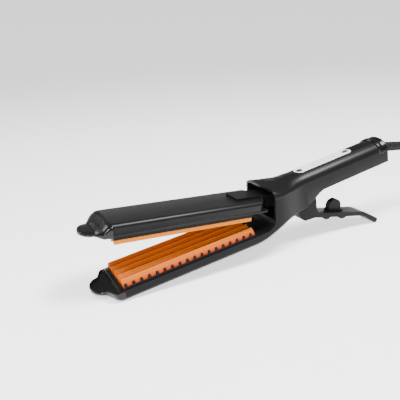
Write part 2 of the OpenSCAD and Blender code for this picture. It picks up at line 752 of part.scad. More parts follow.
// Rocker: strap over the upper jaw, barrel on the pin, root block and squeeze lever
strap_w = 18;
strap_x = 108.5;
strap_t = 1.8;
barrel_r = 6.4;
bush_r = pin_d / 2 + 1;
root_rear = 190.5;
module rocker_outline() {
    translate([pivot_x, pivot_z]) rotate(-open_angle) translate([-pivot_x, -pivot_z])
        polygon([[jaw_end + 0.4, upper_top + 0.9], [138, 8], [152, 5.5], [161, 5.8],
                 [pivot_x, pivot_z], [167, 18.2], [148, upper_top + 0.9]]);
    translate([pivot_x, pivot_z]) circle(r = barrel_r, $fn = 72);
    polygon(concat(
        [[165, 18.2], [160, 9], [168.5, 0]],
        arc(181, -6, 10.3, 180, 246, 8),
        [ahead(lever_from, 6, lever_slope)],
        [for (i = [0:6]) let(a = 252 - 72 * i / 6)
            [root_rear + 6 + 6 * cos(a), -7.6 + 6 * sin(a)]],
        [[root_rear, 8.5], [172, 16.5]]));
    lever_outline();
}

module rocker_lever() {
    half = rocker_w / 2;
    color("#1d1d1f") difference() {
        union() {
            placed() across(rocker_w) rocker_outline();
            swung() bar(strap_x, 150, strap_w, upper_top, upper_top + strap_t);
        }
        placed() {
            cross_cylinder(pivot_x, pivot_z, bush_r, -half - 1, half + 1);
            translate([pivot_x, half - spring_w / 2 + 0.5, pivot_z]) rotate([90, 0, 0])
                cylinder(r = spring_mid + spring_wire / 2 + 0.5, h = spring_w + 1, center = true);
            // hole for the leg that turns with the rocker, recess for the fixed leg
            cross_cylinder(pivot_x + spring_mid, pivot_z - 0.4, 0.75, 0.5, half - spring_w + 1);
            translate([pivot_x - 8.5, half - spring_slot, pivot_z - 12]) cube([7, 9, 12.6]);
        }
        swung() for (x = strap_holes) translate([x, 0, upper_top - 1])
            cylinder(d = strap_bore, h = strap_t + 0.2);
    }
}
strap_holes = [114, 126];
strap_bore = 2.4;

// Lever beyond the root: straight, bent down and round at the tip, with finger ridges
module lever_outline() {
    h = lever_t / 2;
    angles = [for (i = [0:5]) lever_slope + bend * i / 5];
    function on_bend(a) = bend_from
        + bend_r * [sin(a) - sin(lever_slope), cos(a) - cos(lever_slope)];
    s = lever_slope + bend;
    polygon(concat(
        [lever_from + h * [sin(lever_slope), cos(lever_slope)]],
        [for (a = angles) on_bend(a) + h * [sin(a), cos(a)]],
        [tip_at + tip_r * [sin(s), cos(s)], tip_at - tip_r * [sin(s), cos(s)]],
        [for (i = [5:-1:0]) let(a = angles[i]) on_bend(a) - h * [sin(a), cos(a)]],
        [lever_from - h * [sin(lever_slope), cos(lever_slope)]]));
    translate(tip_at) circle(r = tip_r);
    for (l = [12, 31]) let(p = ahead(lever_from, l, lever_slope)) intersection() {
        translate(p + [0, 2.6]) circle(r = 6.6);
        polygon([p + [-7, 1], p + [7, -3], p + [7, -9], p + [-7, -9]]);
    }
}

module pivot_bush() {
    color("#b08a4a") placed() difference() {
        cross_cylinder(pivot_x, pivot_z, bush_r, -rocker_w / 2, rocker_w / 2 - spring_w);
        cross_cylinder(pivot_x, pivot_z, pin_d / 2 + pin_play, -rocker_w, rocker_w);
    }
}

// Upright finger tab with a round top on a low collar
tab_lean = 6;
module lever_tab() {
    p = ahead(lever_from, 25.5, lever_slope);
    color("#19191b") placed() translate([p[0], 0, p[1]]) {
        difference() {
            rotate([0, tab_lean, 0]) {
                across(tab_t) {
                    translate([-tab_l / 2, 0]) square([tab_l, tab_h + 2.1 - tab_l / 2]);
                    translate([0, tab_h + 2.1 - tab_l / 2]) circle(d = tab_l);
                }
            }
            rotate([0, lever_slope, 0]) translate([-20, -20, -40 + lever_t / 2]) cube(40);
        }
        rotate([0, lever_slope, 0]) translate([-tab_l / 2 - 1, -tab_t / 2 - 1, lever_t / 2])
            cube([tab_l + 2, tab_t + 2, 1.6]);
    }
}

strap_head = 1.4;
module strap_screws() {
    color("#b8babd") swung()
        for (x = strap_holes) translate([x, 0, upper_top - upper_wall - strap_head]) {
            cylinder(d = strap_bore, h = strap_head + upper_wall + strap_t - 0.8);
            cylinder(d = 4.4, h = strap_head);
        }
}

// Upper casing: inverted trough with a flange and a rear end rounded in plan
end_r = 12;                            // rounding of the rear end in plan
cave_end = jaw_end - 1 - upper_wall;
cave_r = end_r - upper_wall;
function trough(w, h, r, lip) = concat(
    [[w / 2, 0], [w / 2, lip], [w / 2 - 0.7, lip + 0.3]],
    [for (i = [0:5]) let(a = 90 * i / 5) [w / 2 - 1.3 - r + r * cos(a), h - r + r * sin(a)]],
    [for (i = [5:-1:0]) let(a = 90 * i / 5) [-(w / 2 - 1.3 - r + r * cos(a)), h - r + r * sin(a)]],
    [[-w / 2 + 0.7, lip + 0.3], [-w / 2, lip], [-w / 2, 0]]);

module rounded_end(w, x0, x1, r, z0, z1) {
    translate([0, 0, z0]) linear_extrude(z1 - z0) polygon(concat(
        [[x0, w / 2], [x0, -w / 2]], arc(x1 - r, -w / 2 + r, r, -90, 0, 6),
        arc(x1 - r, w / 2 - r, r, 0, 90, 6)));
}

module upper_casing() {
    w = upper_w;
    color("#202022") swung() difference() {
        intersection() {
            along(nose_seam, jaw_end - nose_seam) translate([0, flange_z])
                polygon(trough(w, upper_h, 3.5, 1.1));
            union() {
                rounded_end(w, nose_seam, jaw_end, 3, flange_z - 1, flange_z + 1.5);
                rounded_end(w, nose_seam, jaw_end - 1, end_r, flange_z + 1.4, upper_top + 1);
            }
        }
        intersection() {
            along(nose_seam - 1, jaw_end - nose_seam) translate([0, flange_z - 1])
                polygon(trough(w - 2 * upper_wall, upper_h + 1 - upper_wall, 2.4, 1.1));
            rounded_end(w - 2 * upper_wall, nose_seam - 2, cave_end, cave_r,
                        flange_z - 2, upper_top);
        }
        for (x = strap_holes) translate([x, 0, upper_top - 4])
            cylinder(d = strap_bore + 2 * fit, h = 9);
    }
}

// Cord: free stretch down into the middle of the hank, and the spare length in the hank.
// The hank's turns go round two half circles and two runs, in layers that each widen or
// narrow by one pitch a turn, and climb one pitch between layers.
r_c = cord_d / 2;
hank_rear = 324;                       // centre of the hank's rear bend
hank_in = 3 * cord_d;                  // radius of its innermost turn
hank_pitch = cord_d + turn_gap;
layer_turns = 1.5;
tie_t = 0.6;                           // thickness of the tie that passes under the hank
hank_z = r_c + tie_t;
boot_end = let(b = rear_axis(boot_l)) [world_x([b[0], b[2]]) - centre_x, 0, world_z([b[0], b[2]])];
boot_dir = [cos(boot_dip - pitch), 0, -sin(boot_dip - pitch)];
join_at = [hank_rear, -hank_in, hank_z];
route = [
    [204, -0.1, 65.1], [214, -0.7, 59.4], [224, -1.9, 51.9], [233, -3.3, 44.1],
    [242, -4.8, 35.8], [251, -6.5, 27.6], [260, -8.1, 19.9], [269, -9.5, 13.2],
    [278, -10.5, 7.9], [287, -11.3, 4.7], [296, -13, 3.9], [305, -15.8, 3.9], [314, -18.4, 3.9]];
function free_points() = concat([boot_end, boot_end + 8 * boot_dir], route, [join_at]);
function spline(p, i, t) =
    let(a = p[max(i - 1, 0)], b = p[i], c = p[i + 1], d = p[min(i + 2, len(p) - 1)])
    0.5 * (2 * b + (c - a) * t + (2 * a - 5 * b + 4 * c - d) * t * t
           + (3 * b - a - 3 * c + d) * t * t * t);
function splined(p, n) = concat(
    [for (i = [0:len(p) - 2]) for (j = [0:n - 1]) spline(p, i, j / n)], [p[len(p) - 1]]);

function hank_width(t) = layer_turns - abs(t % (2 * layer_turns) - layer_turns);
function hank_level(t) = smooth((t - layer_turns) * 2 + 0.5)
    + smooth((t - 2 * layer_turns) * 2 + 0.5) + smooth((t - 3 * layer_turns) * 2 + 0.5);
function hank_point(t) =
    let(q = 4 * (t - floor(t)), r = hank_in + hank_pitch * hank_width(t),
        a = q < 1 ? 180 * q - 90 : q < 2 ? 90 : q < 3 ? 180 * q - 270 : 270,
        along_run = q < 1 ? 0 : q < 2 ? q - 1 : q < 3 ? 1 : 4 - q)
    [hank_rear - hank_run * along_run + r * cos(a), r * sin(a),
     hank_z + hank_pitch * hank_level(t)];
hank_rings = 40;
hank_end = hank_turns - 0.25;          // the last near run is the tail to the plug
hank_top = hank_point(hank_end)[2] + r_c;
tail_l = 50;
plug_z = 6.9;                          // half the height of the plug, which lies on the hank
plug_y = -15;
function tail_point(s) = let(p = hank_point(hank_end), f = smooth(s / tail_l))
    p + [s, (plug_y - p[1]) * f, (hank_top + fit + plug_z - p[2]) * f];
function hank_path() = concat(
    [for (i = [0:hank_end * hank_rings]) hank_point(i / hank_rings)],
    [for (s = [5:5:tail_l]) tail_point(s)]);

// Least distance between centre points more than half a turn apart, less the diameter
function self_gap(p, k) = min([for (i = [0:2:len(p) - 1]) for (j = [i + k:1:len(p) - 1])
    norm(p[i] - p[j])]) - cord_d;

module cord() {
    color("#161616") tube(splined(free_points(), 2), r_c, 8, boot_dir, [1, 0, 0]);
}
module cord_coil() {
    echo(coil_self_gap = self_gap(hank_path(), hank_rings / 2));
    color("#161616") tube(hank_path(), r_c, 6, [1, 0, 0], [1, 0, 0]);
}

// Tie round the turns of the far run
tie_w = 6;
tie_gap = 0.2;
module cord_tie() {
    w = hank_pitch * layer_turns + cord_d + 2 * tie_gap;
    h = hank_top - tie_t + tie_gap;
    color("#0f0f0f") translate([hank_rear - hank_run / 2, hank_in - r_c - tie_gap, 0])
        difference() {
            translate([-tie_w / 2, -tie_t, 0]) cube([tie_w, w + 2 * tie_t, h + 2 * tie_t]);
            translate([-tie_w, 0, tie_t]) cube([2 * tie_w, w, h]);
        }
}

// Flat two-pin plug
plug_w = 34;
plug_l = 35;
plug_h = 2 * plug_z;
module at_plug() {
    translate(tail_point(tail_l)) children();
}
module plug_body() {
    color("#18181a") at_plug() difference() {
        union() {
            rotate([0, 90, 0]) cylinder(d1 = cord_d + 2, d2 = cord_d + 5, h = 12);
            translate([11, 0, 0]) intersection() {
                translate([0, 0, -plug_z]) linear_extrude(plug_h) polygon(
                    [[0, -7], [7, -plug_w / 2], [plug_l - 11, -plug_w / 2],
                     [plug_l - 11, plug_w / 2], [7, plug_w / 2], [0, 7]]);
                rotate([0, 90, 0]) linear_extrude(plug_l)
                    polygon([[-plug_z, -12], [-plug_z, 12], [-2, 17], [2, 17], [plug_z, 12],
                             [plug_z, -12], [2, -17], [-2, -17]]);
            }
        }
        translate([-1, 0, 0]) rotate([0, 90, 0]) cylinder(d = cord_d, h = 1);
    }
}
module plug_pins() {
    color("#cfd1d4") at_plug() for (s = [-1, 1])
        translate([plug_l, s * 9.3, 0]) rotate([0, 90, 0]) cylinder(d = 4, h = 19);
}

lower_casing();
top_cover();
lower_nose();
lower_plate();
lower_heater();
lower_carrier();
comb_strip();
edge_strip();
pivot_pin();
opening_spring();
control_panel();
panel_lamps();
power_button();
mode_button();
circuit_board();
key_switches();
thermal_fuse();
end_cap();
strain_relief();
cord_clamp();
clamp_screws();
inner_cord();
lead_wires();
casing_screws();
rocker_lever();
pivot_bush();
lever_tab();
upper_casing();
upper_nose();
upper_plate();
upper_heater();
upper_carrier();
strap_screws();
cord();
cord_coil();
cord_tie();
plug_body();
plug_pins();
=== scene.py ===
"""Looks of a hair crimping straightener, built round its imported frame.

Every size is in millimetres in the level frame of the iron, where X runs from the jaws to the
cord and Z is up, and place() turns it into the metres of the row frame.
"""

import json
import math

import bmesh
import bpy
import numpy as np
from mathutils import Matrix, Vector


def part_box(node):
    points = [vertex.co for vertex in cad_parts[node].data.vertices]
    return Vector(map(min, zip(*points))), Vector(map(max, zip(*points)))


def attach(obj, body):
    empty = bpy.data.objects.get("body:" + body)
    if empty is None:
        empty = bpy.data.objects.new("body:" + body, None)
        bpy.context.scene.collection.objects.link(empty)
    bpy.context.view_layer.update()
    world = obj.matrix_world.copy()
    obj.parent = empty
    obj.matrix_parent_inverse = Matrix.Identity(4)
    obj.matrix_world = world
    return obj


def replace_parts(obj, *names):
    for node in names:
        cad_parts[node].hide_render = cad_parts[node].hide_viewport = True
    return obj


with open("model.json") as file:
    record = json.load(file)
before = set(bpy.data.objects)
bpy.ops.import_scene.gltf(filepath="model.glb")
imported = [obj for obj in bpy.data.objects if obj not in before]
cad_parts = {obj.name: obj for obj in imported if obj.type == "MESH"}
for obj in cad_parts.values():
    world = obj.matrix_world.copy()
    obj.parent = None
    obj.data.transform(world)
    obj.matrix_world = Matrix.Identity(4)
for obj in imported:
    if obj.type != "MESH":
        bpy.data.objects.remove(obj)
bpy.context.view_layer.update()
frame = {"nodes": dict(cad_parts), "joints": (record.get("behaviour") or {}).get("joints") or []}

bl_info = {
    "name": "Crimping straightener",
    "version": (1, 0, 0),
    "blender": (4, 5, 0),
    "location": "View3D > Sidebar > Straightener",
    "description": "Builds the visible pieces of a crimping straightener round its frame",
    "category": "Object",
}

MM = 0.001

# Places of the level frame, as the frame's joints give them
HINGE = next(j for j in frame["joints"] if j["name"] == "jaw_hinge")
PRESS = next(j for j in frame["joints"] if j["name"] == "power_press")
PIN = np.array([165.0, 0.0, 12.0])
TOP_SLOPE = 2.4
OPEN = math.radians(HINGE["range_deg"][1])
PITCH = math.atan2(PRESS["axis"][0], -PRESS["axis"][2]) - math.radians(TOP_SLOPE)


def turned(points, angle):
    """Points turned about Y: x' = x cos a + z sin a, z' = z cos a - x sin a."""
    x, z = points[..., 0], points[..., 2]
    return np.stack([x * math.cos(angle) + z * math.sin(angle), points[..., 1],
                     z * math.cos(angle) - x * math.sin(angle)], axis=-1)


def place(points, swung=False):
    """Level millimetres to the row frame's metres; the jaw's points are drawn shut, then swung."""
    p = np.asarray(points, float) - PIN
    if swung:
        p = turned(p, OPEN)
    return turned(p, -PITCH) * MM + np.array(HINGE["pos_m"])


# ---------------------------------------------------------------- sizes and colours

class JawSettings(bpy.types.PropertyGroup):
    """Sizes of the jaws' noses, in millimetres of the level frame"""

    nose: bpy.props.FloatProperty(
        name="Nose length", description="Length of the noses ahead of the plates",
        default=21.5, min=16, max=26)
    lobe: bpy.props.FloatProperty(
        name="Lobe width", description="Width of the round lobe of the noses",
        default=26.4, min=18, max=32)
    grooves: bpy.props.IntProperty(
        name="Grip grooves", description="Grooves on the slope of the upper nose",
        default=9, min=4, max=12)
    plate_color: bpy.props.FloatVectorProperty(
        name="Plate colour", description="Colour of the coating on the heating plates",
        subtype="COLOR", size=3, min=0, max=1, default=(0.43, 0.125, 0.006))


class BodySettings(bpy.types.PropertyGroup):
    """Colours of the moulded body"""

    cover_color: bpy.props.FloatVectorProperty(
        name="Cover colour", description="Colour of the top cover and the upper jaw",
        subtype="COLOR", size=3, min=0, max=1, default=(0.0055, 0.0055, 0.006))
    casing_color: bpy.props.FloatVectorProperty(
        name="Casing colour", description="Colour of the lower casing and the lever",
        subtype="COLOR", size=3, min=0, max=1, default=(0.0045, 0.0045, 0.005))
    edge: bpy.props.FloatProperty(
        name="Edge radius", description="Rounding of the moulded edges",
        default=0.4 * MM, min=0.0001, max=0.001, unit="LENGTH", subtype="DISTANCE")


class CordSettings(bpy.types.PropertyGroup):
    """Sizes of the cord and its strain relief"""

    diameter: bpy.props.FloatProperty(
        name="Cord diameter", description="Thickness of the cord",
        default=6.6 * MM, min=0.006, max=0.007, unit="LENGTH", subtype="DISTANCE")
    turns: bpy.props.IntProperty(
        name="Hank turns", description="Turns of the tied hank", default=6, min=4, max=6)
    color: bpy.props.FloatVectorProperty(
        name="Cord colour", description="Colour of the cord's jacket",
        subtype="COLOR", size=3, min=0, max=1, default=(0.0045, 0.0045, 0.005))


class StageSettings(bpy.types.PropertyGroup):
    """Floor, lights and camera"""

    floor_color: bpy.props.FloatVectorProperty(
        name="Floor colour", description="Colour of the plain floor",
        subtype="COLOR", size=3, min=0, max=1, default=(0.9, 0.9, 0.9))
    lens: bpy.props.FloatProperty(
        name="Lens", description="Focal length of the camera, in millimetres",
        default=45.36, min=20, max=120)
    key: bpy.props.FloatProperty(
        name="Key light", description="Power of the key light",
        default=26.0, min=0, max=100, unit="POWER")


# ---------------------------------------------------------------- surfaces

def smooth(t):
    """Smooth step of t: 3 t^2 - 2 t^3 between 0 and 1."""
    u = np.clip(t, 0, 1)
    return u * u * (3 - 2 * u)


def ramp(x, start, length):
    """Smooth step of x that starts at start and takes length."""
    return smooth((x - start) / length)


def lerp(a, b, t):
    """Value a share t of the way from a to b."""
    return a + (b - a) * t


def grid_mesh(name, grid, closed_ring=True, caps=True):
    """Mesh of a grid of points (rows, columns, 3): quads between neighbours, one face at each end.

    Corner (i, j) of a quad is row i, column j; the columns close into a ring where asked.
    """
    rows, columns = grid.shape[:2]
    j = np.arange(columns if closed_ring else columns - 1)
    i = np.arange(rows - 1)[:, None]
    a, b = i * columns + j, i * columns + (j + 1) % columns
    faces = np.stack([a, b, b + columns, a + columns], axis=-1).reshape(-1, 4).tolist()
    if caps:
        faces.append(list(range(columns - 1, -1, -1)))
        faces.append(list(range((rows - 1) * columns, rows * columns)))
    mesh = bpy.data.meshes.new(name)
    mesh.from_pydata(grid.reshape(-1, 3).tolist(), [], faces)
    mesh.update()
    return mesh


def tidy_normals(mesh):
    """Merges doubles and turns the faces outwards."""
    bm = bmesh.new()
    bm.from_mesh(mesh)
    bmesh.ops.remove_doubles(bm, verts=bm.verts, dist=1e-6)
    bmesh.ops.recalc_face_normals(bm, faces=bm.faces)
    bm.to_mesh(mesh)
    bm.free()


def piece(name, mesh, body, material, sharp=35.0):
    """A finished mesh as an object at the origin, smooth up to an angle and riding on its body."""
    mesh.shade_smooth()
    mesh.set_sharp_from_angle(angle=math.radians(sharp))
    obj = bpy.data.objects.new(name, mesh)
    bpy.context.scene.collection.objects.link(obj)
    mesh.materials.clear()
    mesh.materials.append(material)
    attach(obj, body)
    return obj


def dressed(node, material, bevel, body="grip", sharp=32.0, segments=2):
    """The node's own shape with its triangles merged and its edges rounded by bevel metres."""
    mesh = frame["nodes"][node].data.copy()
    mesh.name = node + "_skin"
    bm = bmesh.new()
    bm.from_mesh(mesh)
    bmesh.ops.remove_doubles(bm, verts=bm.verts, dist=2e-6)
    bmesh.ops.dissolve_limit(bm, angle_limit=math.radians(0.6), verts=bm.verts, edges=bm.edges)
    bm.to_mesh(mesh)
    bm.free()
    obj = piece(node + "_skin", mesh, body, material, sharp)
    if bevel:
        rounding = obj.modifiers.new("rounding", "BEVEL")
        rounding.width = bevel
        rounding.segments = segments
        rounding.limit_method = "ANGLE"
        rounding.angle_limit = math.radians(sharp)
    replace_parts(obj, node)
    return obj


def finish_nodes(names, material):
    """Gives the CAD nodes their material."""
    for name in names:
        mesh = frame["nodes"][name].data
        mesh.materials.clear()
        mesh.materials.append(material)


# ---------------------------------------------------------------- materials

def node_group(name, inputs, outputs):
    """A new node group with its sockets: the tree, its input node and its output node."""
    group = bpy.data.node_groups.new(name, "ShaderNodeTree")
    for label, value in inputs.items():
        kind = "NodeSocketColor" if isinstance(value, tuple) else "NodeSocketFloat"
        socket = group.interface.new_socket(name=label, in_out="INPUT", socket_type=kind)
        socket.default_value = value
    for label, kind in outputs.items():
        group.interface.new_socket(name=label, in_out="OUTPUT", socket_type=kind)
    return group, group.nodes.new("NodeGroupInput"), group.nodes.new("NodeGroupOutput")


def maths(group):
    """A function that adds a Math node to the group and hands back its result."""

    def sums(operation, first, second=None, third=None, clamp=False):
        node = group.nodes.new("ShaderNodeMath")
        node.operation, node.use_clamp = operation, clamp
        for socket, value in zip(node.inputs, (first, second, third)):
            if isinstance(value, (int, float)):
                socket.default_value = value
            elif value is not None:
                group.links.new(value, socket)
        return node.outputs[0]

    return sums


def grain_group():
    """Grain of a moulded surface, from two noises of the Object coordinates: a broad one varies
    the colour and the roughness, and a fine one gives the height."""
    name = "moulded grain"
    if name in bpy.data.node_groups:
        return bpy.data.node_groups[name]
    group, take, give = node_group(
        name,
        {"Color": (0.02, 0.02, 0.02, 1), "Variation": 0.2, "Roughness": 0.4,
         "Cloud Scale": 60.0, "Grain Scale": 2500.0},
        {"Color": "NodeSocketColor", "Roughness": "NodeSocketFloat",
         "Height": "NodeSocketFloat"})
    nodes, link, sums = group.nodes, group.links.new, maths(group)
    where = nodes.new("ShaderNodeTexCoord")
    noises = []
    for label, detail in (("Cloud Scale", 4), ("Grain Scale", 3)):
        noise = nodes.new("ShaderNodeTexNoise")
        noise.inputs["Detail"].default_value = detail
        link(where.outputs["Object"], noise.inputs["Vector"])
        link(take.outputs[label], noise.inputs["Scale"])
        noises.append(noise.outputs["Fac"])
    cloud, fine = noises
    swing = sums("MULTIPLY", sums("SUBTRACT", cloud, 0.5), take.outputs["Variation"])
    tint = nodes.new("ShaderNodeVectorMath")
    tint.operation = "SCALE"
    link(take.outputs["Color"], tint.inputs[0])
    link(sums("MULTIPLY_ADD", swing, 2.0, 1.0), tint.inputs["Scale"])
    link(tint.outputs[0], give.inputs["Color"])
    link(sums("MULTIPLY_ADD", swing, 0.35, take.outputs["Roughness"]), give.inputs["Roughness"])
    link(fine, give.inputs["Height"])
    return group


def finish(name, color, roughness, variation=0.2, cloud=60.0, grain=2500.0, bump=0.1,
           depth=0.02, metallic=0.0, specular=0.5):
    """A moulded, coated or metal finish: the grain group feeds colour, roughness and a bump of
    depth millimetres."""
    if name in bpy.data.materials:
        return bpy.data.materials[name]
    material = bpy.data.materials.new(name)
    material.use_nodes = True
    material.diffuse_color = (*color, 1)
    nodes, link = material.node_tree.nodes, material.node_tree.links.new
    shader = nodes["Principled BSDF"]
    shader.inputs["Metallic"].default_value = metallic
    shader.inputs["Specular IOR Level"].default_value = specular
    grains = nodes.new("ShaderNodeGroup")
    grains.node_tree = grain_group()
    for label, value in (("Color", (*color, 1)), ("Variation", variation),
                         ("Roughness", roughness), ("Cloud Scale", cloud), ("Grain Scale", grain)):
        grains.inputs[label].default_value = value
    bumps = nodes.new("ShaderNodeBump")
    bumps.inputs["Strength"].default_value = bump
    bumps.inputs["Distance"].default_value = depth * MM
    link(grains.outputs["Color"], shader.inputs["Base Color"])
    link(grains.outputs["Roughness"], shader.inputs["Roughness"])
    link(grains.outputs["Height"], bumps.inputs["Height"])
    link(bumps.outputs["Normal"], shader.inputs["Normal"])
    return material


def cover_finish():
    """Satin plastic of the top cover and the upper jaw."""
    return finish("satin cover plastic", tuple(bpy.context.scene.body_settings.cover_color),
                  0.3, variation=0.25, bump=0.16, depth=0.03, specular=0.14)


def casing_finish():
    """Satin plastic of the lower casing and the lever."""
    return finish("satin casing plastic", tuple(bpy.context.scene.body_settings.casing_color),
                  0.32, variation=0.25, bump=0.2, depth=0.03, specular=0.09)


def nose_finish():
    """Glossy plastic of the noses and the end cap."""
    return finish("glossy nose plastic", (0.003, 0.003, 0.0035), 0.2,
                  variation=0.2, bump=0.015, specular=0.3)


RIDGE_PITCH = 41.2 / 5
FAR_SHADE_SPAN = 0.04                # metres over which a plate's painted shade deepens to the far side
# Powers of the painted shade: in the valleys, on the middle line of the near faces, and to the far
# side
VALLEY_SHADE_POWER, MIDDLE_SHADE_POWER, FAR_SHADE_POWER = 1.8, 8.0, 1.6
MIDDLE_SHADE_TURN = math.radians(110)  # puts the fine line of painted shade half way up the near faces


def ridge_group():
    """Painted shade across a ridged plate, of the Object coordinate y: painted shade deepens down
    to each valley by ((1 - cos(2 pi y / pitch)) / 2)^1.8, a fine line of painted shade stands half
    way up each near face by ((1 + cos(4 pi y / pitch + 110 degrees)) / 2)^8, and painted shade
    deepens as y grows, to the far side."""
    name = "ridge tone"
    if name in bpy.data.node_groups:
        return bpy.data.node_groups[name]
    group, take, give = node_group(
        name,
        {"Color": (0.8, 0.2, 0.02, 1), "Painted Shade Color": (0.4, 0.06, 0.006, 1), "Pitch": 0.008,
         "Width": FAR_SHADE_SPAN, "Shift": 0.0, "Middle Shade Line": 0.3, "Lines": 0.6, "Depth": 0.5},
        {"Color": "NodeSocketColor"})
    nodes, link, sums = group.nodes, group.links.new, maths(group)
    where, split = nodes.new("ShaderNodeTexCoord"), nodes.new("ShaderNodeSeparateXYZ")
    link(where.outputs["Object"], split.inputs[0])
    y = split.outputs["Y"]
    turns = sums("ADD", sums("DIVIDE", y, take.outputs["Pitch"]), take.outputs["Shift"])
    angle = sums("MULTIPLY", turns, 2 * math.pi)
    # Painted shade that deepens down to each valley
    low = sums("POWER", sums("MULTIPLY_ADD", sums("COSINE", angle), -0.5, 0.5), VALLEY_SHADE_POWER)
    # Fine line of painted shade half way up each near face, standing in for the ridges' shading
    middle_shade_wave = sums("COSINE", sums("MULTIPLY_ADD", angle, 2.0, MIDDLE_SHADE_TURN))
    middle = sums("POWER", sums("MULTIPLY_ADD", middle_shade_wave, 0.5, 0.5), MIDDLE_SHADE_POWER)
    valley_shade = sums("MULTIPLY", low, take.outputs["Lines"])
    faces = sums("MULTIPLY", middle, take.outputs["Middle Shade Line"])
    # Painted shade that deepens to the far side, where the upper jaw shades the plate
    across = sums("ADD", sums("DIVIDE", y, take.outputs["Width"]), 0.5, clamp=True)
    deep = sums("MULTIPLY", sums("POWER", across, FAR_SHADE_POWER), take.outputs["Depth"])
    # Mixes the painted shade colour into the plate's colour
    mix = nodes.new("ShaderNodeMix")
    mix.data_type = "RGBA"
    link(sums("ADD", sums("ADD", valley_shade, faces), deep, clamp=True), mix.inputs["Factor"])
    link(take.outputs["Color"], mix.inputs["A"])
    link(take.outputs["Painted Shade Color"], mix.inputs["B"])
    link(mix.outputs["Result"], give.inputs["Color"])
    return group


def plate_finish(name="plate coating with painted shade", depth=0.3, shift=0.0):
    """Coating of a plate with painted shade: the painted ridge shade goes through the grain group
    to the shader. The depth argument is how much painted shade deepens to the far side, and shift
    moves the painted lines by shares of a pitch."""
    if name in bpy.data.materials:
        return bpy.data.materials[name]
    light = tuple(bpy.context.scene.jaw_settings.plate_color)
    material = finish(name, light, 0.55, variation=0.12, cloud=35, grain=1800, bump=0.12,
                      depth=0.03, specular=0.08)
    nodes, link = material.node_tree.nodes, material.node_tree.links.new
    # Painted shade of the valleys, of a line on each near face and of the far side, mixed into the
    # coating's colour
    painted_shade = nodes.new("ShaderNodeGroup")
    painted_shade.node_tree = ridge_group()
    for label, value in (("Color", (*light, 1)), ("Pitch", RIDGE_PITCH * MM), ("Lines", 1.1),
                         ("Painted Shade Color", (0.33, 0.04, 0.003, 1)), ("Depth", depth),
                         ("Middle Shade Line", 0.4), ("Shift", shift)):
        painted_shade.inputs[label].default_value = value
    grains = next(n for n in nodes if n.type == "GROUP" and n.node_tree.name == "moulded grain")
    link(painted_shade.outputs["Color"], grains.inputs["Color"])
    return material


def steel_finish():
    """Brushed steel of the pins, screws and the spring."""
    return finish("brushed steel", (0.55, 0.55, 0.57), 0.32, variation=0.15, cloud=400,
                  grain=3000, bump=0.15, metallic=1.0)


def rubber_finish():
    """Rubber of the cord and its strain relief."""
    return finish("cord rubber", tuple(bpy.context.scene.cord_settings.color), 0.45,
                  variation=0.3, cloud=120, grain=3000, bump=0.25, depth=0.03, specular=0.16)


# ---------------------------------------------------------------- cord

# Hank: the far end of its middle line, the length of its straight runs, its inner radius in cord
# thicknesses, turns in a layer, the gap between turns, and the tail up to the plug
HANK_REAR = 324.0
HANK_RUN = 68.0
HANK_IN = 3.0
LAYER_TURNS = 1.5
TURN_GAP = 0.5
TAIL = 50.0
TURN_STEPS = 80
TIE_T = 0.6
TIE_POWER = 2 / 0.28
# Plug: half its thickness, its place across, and the gap over the hank
PLUG_HALF = 6.9
PLUG_Y = -15.0
FIT = 0.1
# Strain relief: where it leaves the cap, and its sizes; dip is in degrees
REAR = np.array([272.7, 0.0, 25.0])
BOOT = {"length": 42.0, "dip": 14.0, "base": 9.4, "tip": 8.2, "ribs": 9}
RIB_START = 4.5
RIB_DEPTH = 0.95
# Points of the free stretch, in millimetres of the row frame, as in the part's source
ROUTE = np.array([
    [204, -0.1, 65.1], [214, -0.7, 59.4], [224, -1.9, 51.9], [233, -3.3, 44.1],
    [242, -4.8, 35.8], [251, -6.5, 27.6], [260, -8.1, 19.9], [269, -9.5, 13.2],
    [278, -10.5, 7.9], [287, -11.3, 4.7], [296, -13, 3.9], [305, -15.8, 3.9], [314, -18.4, 3.9]])


def spline_through(points, steps):
    """Catmull-Rom curve: each span is the cubic that passes through its two ends, with the
    tangent at a point half the chord of its neighbours."""
    p = np.vstack([points[:1], points, points[-1:]])
    t = np.linspace(0, 1, steps, endpoint=False)[:, None]
    spans = [0.5 * (2 * b + (c - a) * t + (2 * a - 5 * b + 4 * c - d) * t ** 2
                    + (3 * b - a - 3 * c + d) * t ** 3)
             for a, b, c, d in zip(p[:-3], p[1:-2], p[2:-1], p[3:])]
    return np.vstack(spans + [points[-1:]])


def hank_points(t, d):
    """Points of the hank at turn t, round two half circles and two runs.

    The radius is inner + pitch w, where w is a triangle wave of t between 0 and the turns of
    a layer, and the height climbs one pitch by a smooth step at each turning of that wave.
    """
    pitch = d + TURN_GAP
    width = LAYER_TURNS - np.abs(t % (2 * LAYER_TURNS) - LAYER_TURNS)
    level = sum(smooth((t - k * LAYER_TURNS) * 2 + 0.5) for k in (1, 2, 3))
    q, r = 4 * (t % 1), HANK_IN * d + pitch * width
    bend = np.radians(np.where(q < 1, 180 * q - 90, np.where(q < 2, 90, 180 * q - 270)))
    bend = np.where(q < 3, bend, 1.5 * np.pi)
    on_run = np.where(q < 1, 0, np.where(q < 2, q - 1, np.where(q < 3, 1, 4 - q)))
    return np.stack([HANK_REAR - HANK_RUN * on_run + r * np.cos(bend), r * np.sin(bend),
                     d / 2 + TIE_T + pitch * level], axis=-1)


